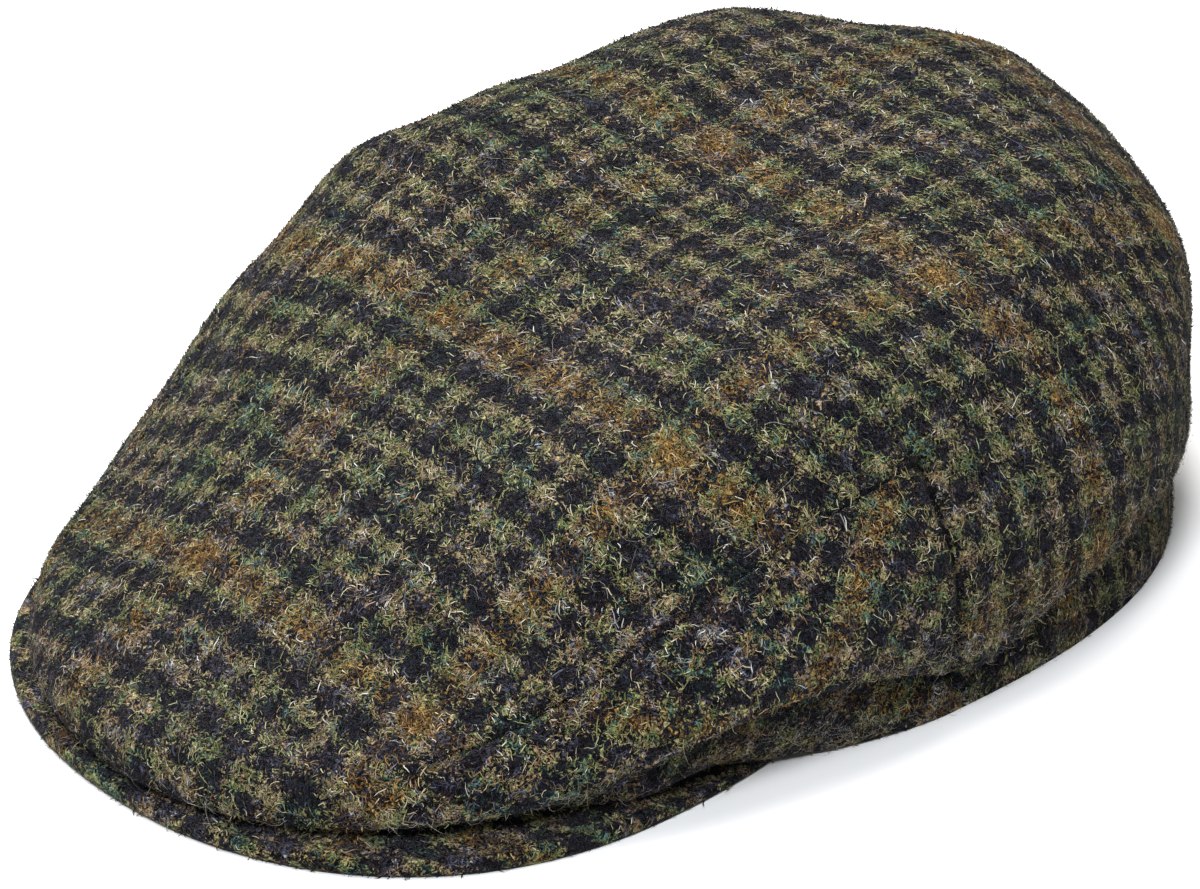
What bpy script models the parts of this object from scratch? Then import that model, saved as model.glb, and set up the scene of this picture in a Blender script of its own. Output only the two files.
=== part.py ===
"""Flat cap in thick tweed, lying on its hem and on the rim of its peak.

Four pieces make it: one top panel that runs from the front over the top and down the back,
a three-cornered side panel on each side, and a stiff peak covered in the same cloth.
Metres, +Z up, the peak towards -Y and the wearer's left towards +X.
The origin lies on the ground, under the middle of the cap's length and width.

A place on the crown is an angle and a level. The angle turns from the front (0) by way of the
wearer's left, and the level counts the rings of the table below, from the hem up to the top.
"""
import math

import bmesh
import bpy
import numpy as np
from mathutils import Vector

# Crown, measured from the upright axis through its widest place
CROWN_FRONT_REACH = 0.151
CROWN_BACK_REACH = 0.121
CROWN_HALF_WIDTH = 0.100
CROWN_HEIGHT = 0.092

# Head opening, to the outside of the hem, and the cloth turned under on the peak
OPENING_FRONT_REACH = 0.080
OPENING_BACK_REACH = 0.115
OPENING_HALF_WIDTH = 0.0925
UNDERFOLD_DEPTH = 0.018

# Peak
PEAK_LIP = 0.0025
PEAK_HALF_WIDTH = 0.0845
PEAK_DEPTH = 0.0815
PEAK_THICKNESS = 0.0042
PEAK_END_THICKNESS = 0.0016
PEAK_END_WIDTH = 0.010
PEAK_RISE = 0.015
PEAK_EDGE_DEPTH = 0.0016
PEAK_SQUARENESS = 2.15
PEAK_REAR_STRETCH = 1.4
PEAK_TOP_ROUNDING = 0.35
PEAK_FOOT_RATIO = 0.96
PEAK_TAPER_ANGLE = math.radians(78)
PEAK_END_ANGLE = math.radians(111)
PEAK_OUT_ANGLE = math.radians(121)

# Cloth
CLOTH_THICKNESS = 0.0021
CLOTH_ON_PEAK_GAP = 0.0005
SEAM_GAP = 0.0005
SEAM_SINK = 0.0008
SEAM_ROLL = 0.0045

# Side panel: the angles of its front tip and of its rear seam, which leans back below the fold,
# and the level at which the front seam leaves the tip
TIP_ANGLE = math.radians(21)
REAR_SEAM_ANGLE = math.radians(88)
REAR_SEAM_LEAN = math.radians(5)
TIP_LEVEL = 4.3
SEAM_CURVE = 2.9

# Rings of the crown. Reaches in front, at the side and behind are shares of the opening's sizes
# for the two hem rings and of the crown's sizes for the rest, heights at the same three places
# are shares of the crown's height, and squareness is the power of the ring's outline in its
# front and back halves, where 2 is an ellipse.
RINGS = [
    dict(name="hem", reach=(1.000, 1.000, 1.000), height=(0.070, 0.000, 0.000), square=(1.6, 2.6)),
    dict(name="hem_top", reach=(1.045, 1.000, 1.000), height=(0.065, 0.065, 0.065), square=(1.7, 2.6)),
    dict(name="tuck", reach=(0.973, 0.945, 0.967), height=(0.065, 0.147, 0.217), square=(2.05, 2.6)),
    dict(name="fold", reach=(1.000, 0.990, 0.988), height=(0.082, 0.217, 0.348), square=(2.15, 2.4)),
    dict(name="wall", reach=(1.000, 1.000, 1.000), height=(0.130, 0.326, 0.500), square=(2.15, 2.35)),
    dict(name="brow", reach=(0.977, 0.980, 1.000), height=(0.190, 0.430, 0.652), square=(2.1, 2.35)),
    dict(name="shoulder", reach=(0.907, 0.935, 0.967), height=(0.250, 0.527, 0.804), square=(2.0, 2.3)),
    dict(name="edge", reach=(0.795, 0.855, 0.876), height=(0.348, 0.647, 0.913), square=(1.93, 2.25)),
    dict(name="outer", reach=(0.642, 0.740, 0.744), height=(0.505, 0.788, 0.967), square=(1.95, 2.2)),
    dict(name="middle", reach=(0.450, 0.535, 0.537), height=(0.668, 0.886, 0.972), square=(2.0, 2.1)),
    dict(name="inner", reach=(0.232, 0.280, 0.281), height=(0.780, 0.897, 0.932), square=(2.0, 2.1)),
    dict(name="pole", reach=(0.000, 0.000, 0.000), height=(0.887, 0.887, 0.887), square=(2.0, 2.0)),
]
HEM_RINGS = ("hem", "hem_top")
HEM_REACHES = (CROWN_FRONT_REACH - UNDERFOLD_DEPTH, OPENING_HALF_WIDTH, OPENING_BACK_REACH)
CROWN_REACHES = (CROWN_FRONT_REACH, CROWN_HALF_WIDTH, CROWN_BACK_REACH)
LEVELS = {ring["name"]: level for level, ring in enumerate(RINGS)}
FOLD_LEVEL = LEVELS["fold"]
APEX_LEVEL = LEVELS["edge"]
POLE_LEVEL = LEVELS["pole"]
HEIGHT_BLEND = 1.6

# Swells (+) and dents (-) of the soft cloth, in angles and levels, with their depths as shares
# of the crown's height
SWELLS = [
    dict(name="right_shoulder", angle=-116, level=8.4, spread=(42, 1.7), depth=0.066),
    dict(name="right_temple", angle=-67, level=6.9, spread=(20, 1.4), depth=0.058),
    dict(name="right_front_corner", angle=-39, level=5.2, spread=(15, 1.5), depth=-0.040),
    dict(name="back_left_top", angle=142, level=7.0, spread=(28, 1.1), depth=-0.030),
    dict(name="rear_seam_pinch_left", angle=91, level=2.9, spread=(7, 0.9), depth=-0.022),
    dict(name="rear_seam_pinch_right", angle=-91, level=2.9, spread=(7, 0.9), depth=-0.022),
]

# The cap's middle lies half way between the rim of the peak and the back of the crown
CENTRE_Y = (CROWN_FRONT_REACH + PEAK_LIP - CROWN_BACK_REACH) / 2
PEAK_CENTRE_Y = CENTRE_Y - CROWN_FRONT_REACH - PEAK_LIP + PEAK_DEPTH

# How finely the pieces are divided
FRONT_COLUMNS = 8
SIDE_COLUMNS = 16
BACK_COLUMNS = 32
LOWER_LEVELS = [0, 1, 1.5, 2, 2.5, 3]
UPPER_ROW_SHARES = [0.0, 0.065, 0.14, 0.22, 0.30, 0.39, 0.48, 0.57, 0.66, 0.74, 0.82, 0.89, 0.95, 1.0]
SIDE_ROW_SHARES = [0.16, 0.33, 0.50, 0.68, 0.87, 1.0]
PEAK_SECTIONS = 56
PEAK_ROW_SHARES = [0.0, 0.05, 0.15, 0.35, 0.65, 1.0]
PEAK_EDGE_STEPS = 5

WELD_DISTANCE = 0.00001


def ease(start, end, value):
    """Smooth step from 0 at the start to 1 at the end."""
    share = min(max((value - start) / (end - start), 0.0), 1.0)
    return share * share * (3 - 2 * share)


def ring_row(ring):
    """One ring's reaches and heights in metres, and its squareness."""
    reaches = HEM_REACHES if ring["name"] in HEM_RINGS else CROWN_REACHES
    row = [share * reach for share, reach in zip(ring["reach"], reaches)]
    row += [share * CROWN_HEIGHT for share in ring["height"]]
    return row + list(ring["square"])


def ring_table():
    """The rings with one more at each end, so that the crown's curve runs straight off the hem
    and level over the pole."""
    rows = np.array([ring_row(ring) for ring in RINGS])
    below = 2 * rows[0] - rows[1]
    beyond = rows[-2].copy()
    beyond[:3] *= -1
    return np.vstack([below, rows, beyond])


RING_TABLE = ring_table()


def ring_at(level):
    """The ring at a level, by a smooth curve through the rings of the table."""
    index = min(int(level), POLE_LEVEL - 1)
    share = level - index
    before, start, end, after = RING_TABLE[index:index + 4]
    slope = end - before
    bend = 2 * before - 5 * start + 4 * end - after
    twist = 3 * start - before - 3 * end + after
    return 0.5 * (2 * start + slope * share + bend * share ** 2 + twist * share ** 3)


def smooth_crown(angle, level):
    """Place on the crown without its swells."""
    front, side, back, front_z, side_z, back_z, front_square, back_square = ring_at(level)
    across = math.sin(angle)
    along = math.cos(angle)
    reach, end_z, square = (front, front_z, front_square) if along > 0 else (back, back_z, back_square)
    height = side_z + (end_z - side_z) * abs(along) ** HEIGHT_BLEND
    radius = 0.0
    if level < POLE_LEVEL:
        radius = (abs(across / side) ** square + abs(along / reach) ** square) ** (-1 / square)
    return Vector((radius * across, CENTRE_Y - radius * along, height))


def crown_normal(angle, level):
    """Direction out of the cloth."""
    if level >= POLE_LEVEL:
        return Vector((0, 0, 1))
    step = 0.01
    around = smooth_crown(angle + step, level) - smooth_crown(angle - step, level)
    climb = smooth_crown(angle, level + step) - smooth_crown(angle, max(level - step, 0))
    normal = around.cross(climb).normalized()
    if level <= LEVELS["hem_top"]:
        normal.z = 0
    return normal


def swell_at(angle, level):
    """How far the cloth stands out of the smooth crown."""
    total = 0.0
    for swell in SWELLS:
        turn = math.remainder(angle - math.radians(swell["angle"]), math.tau)
        turn_share = turn / math.radians(swell["spread"][0])
        climb_share = (level - swell["level"]) / swell["spread"][1]
        total += swell["depth"] * math.exp(-turn_share ** 2 - climb_share ** 2)
    return CROWN_HEIGHT * total * min(1.0, POLE_LEVEL - level)


def crown_point(angle, level, sink=0.0):
    """Place on the outside of the crown; the sink draws it in along a seam."""
    point = smooth_crown(angle, level)
    point += crown_normal(angle, level) * (swell_at(angle, level) - sink)
    if level <= FOLD_LEVEL:
        point.z = max(point.z, cloth_on_peak(point.x, point.y))
    return point


def peak_ratio(x, y):
    """How far out a place lies on the peak: 0 at its centre, 1 on its rim."""
    depth = PEAK_DEPTH if y < PEAK_CENTRE_Y else PEAK_DEPTH * PEAK_REAR_STRETCH
    across = abs(x / PEAK_HALF_WIDTH) ** PEAK_SQUARENESS
    along = abs((y - PEAK_CENTRE_Y) / depth) ** PEAK_SQUARENESS
    return (across + along) ** (1 / PEAK_SQUARENESS)


def peak_underside(x, y):
    """Height of the peak's lower face: flat along the rim, then arched up to the opening."""
    foot = math.hypot(PEAK_FOOT_RATIO, PEAK_TOP_ROUNDING)
    place = math.hypot(peak_ratio(x, y), PEAK_TOP_ROUNDING)
    return PEAK_RISE * max(0.0, foot - place) / (foot - PEAK_TOP_ROUNDING)


def angle_on_peak(x, y):
    """How far a place is turned round the peak's centre, from the front to either side."""
    return abs(math.atan2(x, PEAK_CENTRE_Y - y))


def peak_thickness(x, y):
    """Thickness of the peak, less towards its rear ends."""
    taper = ease(PEAK_TAPER_ANGLE, PEAK_END_ANGLE, angle_on_peak(x, y))
    return PEAK_THICKNESS + (PEAK_END_THICKNESS - PEAK_THICKNESS) * taper


def cloth_on_peak(x, y):
    """Height of cloth lying on the peak, easing down to the ground behind the peak's ends. The
    peak rises inward, so the cloth clears it under its own inner face."""
    cover = 1 - ease(PEAK_END_ANGLE, PEAK_OUT_ANGLE, angle_on_peak(x, y))
    inward = 1 - CLOTH_THICKNESS / PEAK_HALF_WIDTH
    inner = peak_underside(x * inward, PEAK_CENTRE_Y + (y - PEAK_CENTRE_Y) * inward)
    return cover * (inner + peak_thickness(x, y) + CLOTH_ON_PEAK_GAP)


def rim_point(angle):
    """Place on the outline of the peak."""
    across = math.sin(angle)
    along = -math.cos(angle)
    radius = 1 / peak_ratio(across, PEAK_CENTRE_Y + along)
    return Vector((radius * across, PEAK_CENTRE_Y + radius * along, 0))


def opening_point(angle):
    """Place on the inner edge of the peak, along the front of the head opening."""
    end = rim_point(PEAK_END_ANGLE)
    turn = angle / PEAK_END_ANGLE * math.pi / 2
    front_y = CENTRE_Y - OPENING_FRONT_REACH
    return Vector(((end.x - PEAK_END_WIDTH) * math.sin(turn),
                   end.y - (end.y - front_y) * math.cos(turn), 0))


def seam_level(angle):
    """Level of the front seam, which climbs from the tip to the apex over the temple."""
    turn = abs(math.remainder(angle, math.tau))
    share = min(max((turn - TIP_ANGLE) / (REAR_SEAM_ANGLE - TIP_ANGLE), 0.0), 1.0)
    return TIP_LEVEL + (APEX_LEVEL - TIP_LEVEL) * (1 - (1 - share) ** SEAM_CURVE)


def rear_seam(level):
    """Angle of the rear seam."""
    return REAR_SEAM_ANGLE + REAR_SEAM_LEAN * max(0.0, 1 - level / FOLD_LEVEL)


def levels_in(distance, angle, level):
    """Levels that a distance up the cloth takes."""
    step = 0.1
    run = smooth_crown(angle, level + step) - smooth_crown(angle, level - step)
    return distance * 2 * step / run.length


def seam_edge(angle, side):
    """Level of a panel's edge at the front seam, half a gap above it (1) or below it (-1)."""
    level = seam_level(angle)
    return level + side * levels_in(SEAM_GAP / 2, angle, level)


HALF_GAP_ANGLE = SEAM_GAP / 2 / CROWN_HALF_WIDTH
ROLL_ANGLE = SEAM_ROLL / CROWN_HALF_WIDTH
TOP_TIP_ANGLE = TIP_ANGLE - HALF_GAP_ANGLE
TOP_REAR_ANGLE = REAR_SEAM_ANGLE + HALF_GAP_ANGLE


def seam_sink(angle):
    """How deep the cloth is drawn in along the front seam, which fades out towards the tip."""
    turn = abs(math.remainder(angle, math.tau))
    return SEAM_SINK * ease(TIP_ANGLE, 2 * TIP_ANGLE, turn)


def spread(start, end, count, roll_start=0.0, roll_end=0.0):
    """Even places from start to end, with one more next to an end where the cloth rolls in."""
    places = [start + (end - start) * i / count for i in range(count + 1)]
    if roll_start:
        places.insert(1, start + roll_start)
    if roll_end:
        places.insert(-1, end - roll_end)
    return sorted(places)


def lay_grid(bm, columns, rows, place):
    """Sheet with a vertex at each column and row, laid out by the place function."""
    sheet = bmesh.ops.create_grid(bm, x_segments=len(columns) - 1, y_segments=len(rows) - 1, size=0.5)
    for vert in sheet["verts"]:
        column = columns[round((vert.co.x + 0.5) * (len(columns) - 1))]
        row = rows[round((vert.co.y + 0.5) * (len(rows) - 1))]
        vert.co = place(column, row)


def weld(bm):
    """Join the sheets along their shared edges and drop the faces that shrink to nothing."""
    bmesh.ops.remove_doubles(bm, verts=bm.verts, dist=WELD_DISTANCE)
    bmesh.ops.dissolve_degenerate(bm, edges=bm.edges, dist=WELD_DISTANCE)


def top_panel(bm):
    """Front, top and back of the crown in one cloth: a ring of columns over the seams, a strip
    down the front between the two tips, and the back down to the hem."""
    front = spread(-TOP_TIP_ANGLE, TOP_TIP_ANGLE, FRONT_COLUMNS, ROLL_ANGLE, ROLL_ANGLE)
    left = spread(TOP_TIP_ANGLE, TOP_REAR_ANGLE, SIDE_COLUMNS)
    back = spread(TOP_REAR_ANGLE, math.tau - TOP_REAR_ANGLE, BACK_COLUMNS, ROLL_ANGLE, ROLL_ANGLE)
    right = [math.tau - angle for angle in reversed(left)]

    def over_seams(angle, share):
        turn = abs(math.remainder(angle, math.tau))
        on_seam = share == 0 and TOP_TIP_ANGLE - 1e-6 < turn < TOP_REAR_ANGLE + 1e-6
        edge = seam_edge(angle, 1)
        level = edge + (POLE_LEVEL - edge) * share
        return crown_point(angle, level, seam_sink(angle) if on_seam else 0.0)

    lay_grid(bm, front + left[1:] + back[1:] + right[1:], UPPER_ROW_SHARES, over_seams)

    def down_front(angle, row):
        return crown_point(angle, min(row, seam_edge(angle, 1)))

    lay_grid(bm, front, LOWER_LEVELS + [3.5, 4, POLE_LEVEL], down_front)

    def down_back(angle, row):
        on_seam = angle in (back[0], back[-1])
        level = min(row, seam_edge(angle, 1))
        lean = (rear_seam(level) - REAR_SEAM_ANGLE) * (math.pi - angle) / (math.pi - TOP_REAR_ANGLE)
        return crown_point(angle + lean, level, SEAM_SINK if on_seam else 0.0)

    lay_grid(bm, back, LOWER_LEVELS + [3.5, 4, 4.5, 5, 5.5, 6, 6.5, POLE_LEVEL], down_back)


def side_panel(bm, side):
    """Three-cornered panel over the ear, left (1) or right (-1), from the hem up to both seams."""
    tip = TIP_ANGLE + HALF_GAP_ANGLE
    rear = REAR_SEAM_ANGLE - HALF_GAP_ANGLE
    columns = spread(tip, rear, SIDE_COLUMNS, ROLL_ANGLE, ROLL_ANGLE)
    rows = LOWER_LEVELS + [FOLD_LEVEL + share for share in SIDE_ROW_SHARES]
    signed = [side * angle for angle in columns[::side]]

    def place(angle, row):
        turn = abs(angle)
        level = row
        if row > FOLD_LEVEL:
            level = FOLD_LEVEL + (seam_edge(turn, -1) - FOLD_LEVEL) * (row - FOLD_LEVEL)
        sink = 0.0
        if row == rows[-1]:
            sink = seam_sink(turn)
        elif turn == columns[-1]:
            sink = SEAM_SINK
        turn += (rear_seam(level) - REAR_SEAM_ANGLE) * (turn - tip) / (rear - tip)
        return crown_point(side * turn, level, sink)

    lay_grid(bm, signed, rows, place)


def peak_section():
    """Places round the peak's cross-section: along the top from the opening to the rim, round
    the rim, and back along the underside. Each is a share of the way in and a share of the
    thickness, with how far it stands back from the outermost edge."""
    top = [(share, 1.0, 1.0) for share in reversed(PEAK_ROW_SHARES)]
    edge = []
    for step in range(1, PEAK_EDGE_STEPS):
        turn = math.pi / 2 - math.pi * step / PEAK_EDGE_STEPS
        edge.append((0.0, (1 + math.sin(turn)) / 2, 1 - math.cos(turn)))
    under = [(share, 0.0, 1.0) for share in PEAK_ROW_SHARES]
    return top + edge + under + top[:1]


def peak(bm):
    """Crescent with a rounded rim, closed at its two rear ends."""
    angles = spread(-PEAK_END_ANGLE, PEAK_END_ANGLE, PEAK_SECTIONS)

    def place(angle, corner):
        way_in, lift, back = corner
        rim = rim_point(angle)
        inward = opening_point(angle) - rim
        start = rim + inward.normalized() * PEAK_EDGE_DEPTH * back
        point = start.lerp(rim + inward, way_in)
        point.z = peak_underside(point.x, point.y) + lift * peak_thickness(point.x, point.y)
        return point

    lay_grid(bm, angles, peak_section(), place)
    bmesh.ops.remove_doubles(bm, verts=bm.verts, dist=WELD_DISTANCE)
    bmesh.ops.holes_fill(bm, edges=bm.edges, sides=0)
    bmesh.ops.recalc_face_normals(bm, faces=bm.faces)


def make_material(name, color, roughness):
    material = bpy.data.materials.new(name)
    material.use_nodes = True
    principled = material.node_tree.nodes["Principled BSDF"]
    principled.inputs["Base Color"].default_value = (*color, 1.0)
    principled.inputs["Roughness"].default_value = roughness
    principled.inputs["Metallic"].default_value = 0.0
    return material


def make_object(collection, name, build, color, shell=True):
    """Object of one piece, a shell of cloth unless the piece is already solid."""
    bm = bmesh.new()
    build(bm)
    if shell:
        weld(bm)
    mesh = bpy.data.meshes.new(name)
    bm.to_mesh(mesh)
    bm.free()
    mesh.shade_smooth()
    mesh.set_sharp_from_angle(angle=math.radians(50))
    mesh.materials.append(make_material(name.replace("_", " ").title(), color, 0.95))
    piece = bpy.data.objects.new(name, mesh)
    collection.objects.link(piece)
    if shell:
        cloth = piece.modifiers.new("Cloth", "SOLIDIFY")
        cloth.thickness = CLOTH_THICKNESS
        cloth.offset = -1
        cloth.use_quality_normals = True
    return piece


def main():
    for old in list(bpy.data.objects):
        bpy.data.objects.remove(old, do_unlink=True)
    collection = bpy.data.collections.new("Flat Cap")
    bpy.context.scene.collection.children.link(collection)
    make_object(collection, "top_panel", top_panel, (0.080, 0.073, 0.054))
    make_object(collection, "side_panel_left", lambda bm: side_panel(bm, 1), (0.076, 0.070, 0.053))
    make_object(collection, "side_panel_right", lambda bm: side_panel(bm, -1), (0.076, 0.070, 0.053))
    make_object(collection, "peak", peak, (0.070, 0.065, 0.050), shell=False)


main()
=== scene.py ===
"""Dresses the flat cap in its checked tweed and sets it on a pale floor under soft studio light.

The cloth follows the same rings, seams and swells as the solids underneath, on a much finer grid.
Each place on it also knows where it lay on the flat cloth, which is where the check comes from,
and a nap of short curled fibres with some long stray ones stands on it.
Metres, +Z up, the peak towards -Y and the wearer's left towards +X.
"""
import math

import bmesh
import bpy
import numpy as np
from bpy.props import FloatProperty, FloatVectorProperty, IntProperty, PointerProperty
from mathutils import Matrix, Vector, noise


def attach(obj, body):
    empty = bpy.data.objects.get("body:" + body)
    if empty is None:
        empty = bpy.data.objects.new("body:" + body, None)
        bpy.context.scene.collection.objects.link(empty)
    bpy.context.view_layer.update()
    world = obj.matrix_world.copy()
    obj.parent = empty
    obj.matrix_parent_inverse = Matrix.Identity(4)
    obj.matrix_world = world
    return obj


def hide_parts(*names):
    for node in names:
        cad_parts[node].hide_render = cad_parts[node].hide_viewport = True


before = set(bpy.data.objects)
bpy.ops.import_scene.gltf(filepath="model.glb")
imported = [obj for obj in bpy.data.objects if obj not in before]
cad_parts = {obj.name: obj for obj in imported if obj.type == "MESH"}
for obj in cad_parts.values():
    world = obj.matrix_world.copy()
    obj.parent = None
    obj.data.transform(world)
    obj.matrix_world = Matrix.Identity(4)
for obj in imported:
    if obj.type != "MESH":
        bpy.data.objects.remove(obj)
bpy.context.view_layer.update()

bl_info = {
    "name": "Flat Cap",
    "version": (1, 0, 0),
    "blender": (4, 5, 0),
    "location": "3D View > Sidebar > Flat Cap",
    "description": "Flat cap in checked tweed with its nap, on a studio floor",
    "category": "Object",
}


def table(columns, rows):
    """Rows with their columns named. A row may leave out its last columns."""
    return [dict(zip(columns.split(), row)) for row in rows]


# Crown, measured from the upright axis through its widest place
CROWN_FRONT_REACH = 0.151
CROWN_BACK_REACH = 0.121
CROWN_HALF_WIDTH = 0.100
CROWN_HEIGHT = 0.092

# Head opening, to the outside of the hem, and the cloth turned under on the peak
OPENING_FRONT_REACH = 0.080
OPENING_BACK_REACH = 0.115
OPENING_HALF_WIDTH = 0.0925
UNDERFOLD_DEPTH = 0.018

# Peak
PEAK_LIP = 0.0025
PEAK_HALF_WIDTH = 0.0845
PEAK_DEPTH = 0.0815
PEAK_THICKNESS = 0.0042
PEAK_END_THICKNESS = 0.0016
PEAK_END_WIDTH = 0.010
PEAK_RISE = 0.015
PEAK_EDGE_DEPTH = 0.0016
PEAK_SQUARENESS = 2.15
PEAK_REAR_STRETCH = 1.4
PEAK_TOP_ROUNDING = 0.35
PEAK_FOOT_RATIO = 0.96
PEAK_TAPER_ANGLE = math.radians(78)
PEAK_END_ANGLE = math.radians(111)
PEAK_OUT_ANGLE = math.radians(121)

CLOTH_ON_PEAK_GAP = 0.0005

# Side panel: the angles of its front tip and of its rear seam, which leans back below the fold,
# and the level at which the front seam leaves the tip
TIP_ANGLE = math.radians(21)
REAR_SEAM_ANGLE = math.radians(88)
REAR_SEAM_LEAN = math.radians(5)
TIP_LEVEL = 4.3
SEAM_CURVE = 2.9

# Rings of the crown. Reaches in front, at the side and behind are shares of the opening's sizes
# for the two hem rings and of the crown's sizes for the rest, heights at the same three places
# are shares of the crown's height, and squareness is the power of the ring's outline in its
# front and back halves, where 2 is an ellipse.
RINGS = table("name reach height square", [
    ("hem", (1.000, 1.000, 1.000), (0.070, 0.000, 0.000), (1.6, 2.6)),
    ("hem_top", (1.045, 1.000, 1.000), (0.065, 0.065, 0.065), (1.7, 2.6)),
    ("tuck", (0.973, 0.910, 0.950), (0.065, 0.168, 0.240), (2.05, 2.6)),
    ("fold", (1.000, 0.990, 0.988), (0.082, 0.217, 0.348), (2.15, 2.4)),
    ("wall", (1.000, 1.000, 1.000), (0.130, 0.326, 0.500), (2.15, 2.35)),
    ("brow", (0.977, 0.980, 1.000), (0.190, 0.430, 0.652), (2.1, 2.35)),
    ("shoulder", (0.907, 0.935, 0.967), (0.250, 0.527, 0.804), (2.0, 2.3)),
    ("edge", (0.795, 0.855, 0.876), (0.348, 0.647, 0.913), (1.93, 2.25)),
    ("outer", (0.642, 0.740, 0.744), (0.505, 0.788, 0.967), (1.95, 2.2)),
    ("middle", (0.450, 0.535, 0.537), (0.668, 0.886, 0.972), (2.0, 2.1)),
    ("inner", (0.232, 0.280, 0.281), (0.780, 0.897, 0.932), (2.0, 2.1)),
    ("pole", (0.000, 0.000, 0.000), (0.887, 0.887, 0.887), (2.0, 2.0)),
])
HEM_RINGS = ("hem", "hem_top")
HEM_REACHES = (CROWN_FRONT_REACH - UNDERFOLD_DEPTH, OPENING_HALF_WIDTH, OPENING_BACK_REACH)
CROWN_REACHES = (CROWN_FRONT_REACH, CROWN_HALF_WIDTH, CROWN_BACK_REACH)
LEVELS = {ring["name"]: level for level, ring in enumerate(RINGS)}
FOLD_LEVEL = LEVELS["fold"]
WALL_LEVEL = LEVELS["wall"]
EDGE_LEVEL = LEVELS["edge"]
POLE_LEVEL = LEVELS["pole"]
HEIGHT_BLEND = 1.6

# Swells (+) and dents (-) of the soft cloth, in angles and levels, with their depths as shares
# of the crown's height. Those with two sides come on the left (1) and on the right (-1).
SWELLS = table("name angle level spread depth sides", [
    ("right_shoulder", -116, 8.4, (42, 1.7), 0.066),
    ("right_temple", -67, 6.9, (20, 1.4), 0.058),
    ("right_front_corner", -39, 5.2, (15, 1.5), -0.040),
    ("back_left_top", 142, 7.0, (28, 1.1), -0.030),
    ("rear_seam_pinch", 91, 2.9, (7, 0.9), -0.022, (1, -1)),
    ("front_corner_dent", -38, 4.2, (6, 0.8), -0.018),
    ("temple_dent", -66, 6.8, (5, 1.2), -0.014),
    ("temple_ridge", -78, 7.7, (6, 1.3), 0.026),
    ("shoulder_dent", -116, 8.1, (11, 1.6), -0.026),
    ("back_ridge", -141, 7.9, (9, 1.6), 0.021),
    ("back_dent", -158, 7.6, (7, 1.3), -0.017),
    ("crease_ridge", -176, 7.0, (6, 1.2), 0.014),
    ("nape_dent", 163, 6.0, (9, 1.4), -0.015),
    ("back_corner_dent", 144, 4.1, (9, 1.3), -0.022),
    ("recess", 66, 2.4, (20, 0.4), -0.042, (1, -1)),
    ("hem_corner", 42, 1.6, (12, 0.7), 0.070, (1, -1)),
])

# Each START, END, TURN, LEVEL or REAR below that holds two numbers says where a change begins and
# where it is complete.

# Where the fold hangs higher (+) or lower (-) than its ring, on both sides alike
FOLD_LIFTS = table("name angle spread height", [
    ("front", 0, 36, -0.0014),
    ("over_the_ear", 60, 16, 0.0078),
    ("rear_seam", 92, 9, -0.0090),
])
FOLD_LIFT_LEVEL = 2.8
FOLD_LIFT_SPREAD = 1.0
FOLD_LIFT_START = (0.9, 1.6)

# The cap's middle lies half way between the rim of the peak and the back of the crown
CENTRE_Y = (CROWN_FRONT_REACH + PEAK_LIP - CROWN_BACK_REACH) / 2
PEAK_CENTRE_Y = CENTRE_Y - CROWN_FRONT_REACH - PEAK_LIP + PEAK_DEPTH

# Seams: how deep and wide the groove is and how much painted shade darkens the cloth's colour in it,
# the soft roll of cloth beside it, and where both set in behind the tip and above the hem
SEAMS = table("name depth width shade", [
    ("front", 0.0007, 0.0008, 0.40),
    ("rear", 0.0018, 0.0015, 1.0),
])
SEAM_ROLL = dict(height=0.00035, away=0.0034, width=0.0020)
SEAM_RELIEF_AT_TIP = 0.35
SEAM_RELIEF_TURN = (TIP_ANGLE, 1.6 * TIP_ANGLE)
SEAM_RELIEF_LEVEL = (0.0, 2.0)
SEAM_SHADE_TURN = (0.8 * TIP_ANGLE, 1.3 * TIP_ANGLE)
SEAM_SHADE_LEVEL = (0.5, 1.5)

# Painted shade under the fold, which darkens the cloth's colour, sets in over the front corner and is
# less behind the rear seam
UNDER_FOLD = dict(level=2.25, spread=0.55, shade=0.95)
UNDER_FOLD_START = (math.radians(40), math.radians(56))
UNDER_FOLD_REAR = (1.5, 1.9)
UNDER_FOLD_REAR_LOSS = 0.5

# Height under which the cloth that faces down this much belongs to the fold
FOLD_TOP = 0.040
FOLD_FACING = -0.25
FOLD_FACING_SPREAD = 0.22

# Ripples of the soft cloth: the size of a ripple and how far it stands out, above the hem
RIPPLES = [
    dict(size=0.034, height=0.00070),
    dict(size=0.013, height=0.00028),
]
RIPPLE_START = (0.004, 0.02)

# Where the rust stripes cross on the top, how the grain bows back over the sides, and between
# which angles the cloth runs down over the side and not over the front or the back
RUST_ACROSS = -0.0145
RUST_ALONG = -0.0310
GRAIN_BOW = 0.25
GRAIN_SWEEP = 14.0
GRAIN_SWEEP_START = 0.055
GRAIN_SKEW = 0.03
OVER_SIDE_START = (math.radians(20), math.radians(70))
OVER_SIDE_END = (math.radians(122), math.radians(162))
SIDE_GRAIN_ALONG = math.radians(140)
SIDE_GRAIN_ACROSS = math.radians(65)
SIDE_RUST_ALONG = -0.1157
SIDE_RUST_ACROSS = 0.0640
SIDE_CHECK_ALONG = 0.0088
SIDE_CHECK_ACROSS = 0.0076

# How finely the cloth is divided, and measured
FRONT_COLUMNS = 44
SIDE_COLUMNS = 84
BACK_COLUMNS = 196
TOP_ROWS = 70
FRONT_ROWS = 44
BACK_ROWS = 60
PANEL_COLUMNS = 150
PANEL_ROWS = 74
PEAK_SECTIONS = 230
PEAK_TOP_ROWS = 22
PEAK_EDGE_STEPS = 9
PEAK_ROW_CROWDING = 1.6
ROW_CROWDING = 1.35
COLUMN_CROWDING = 0.72
ARC_STEPS = 24
LINE_POINTS = 60
RING_POINTS = 200
LINE_OVERRUN = 0.2
WELD_DISTANCE = 0.00001

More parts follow.
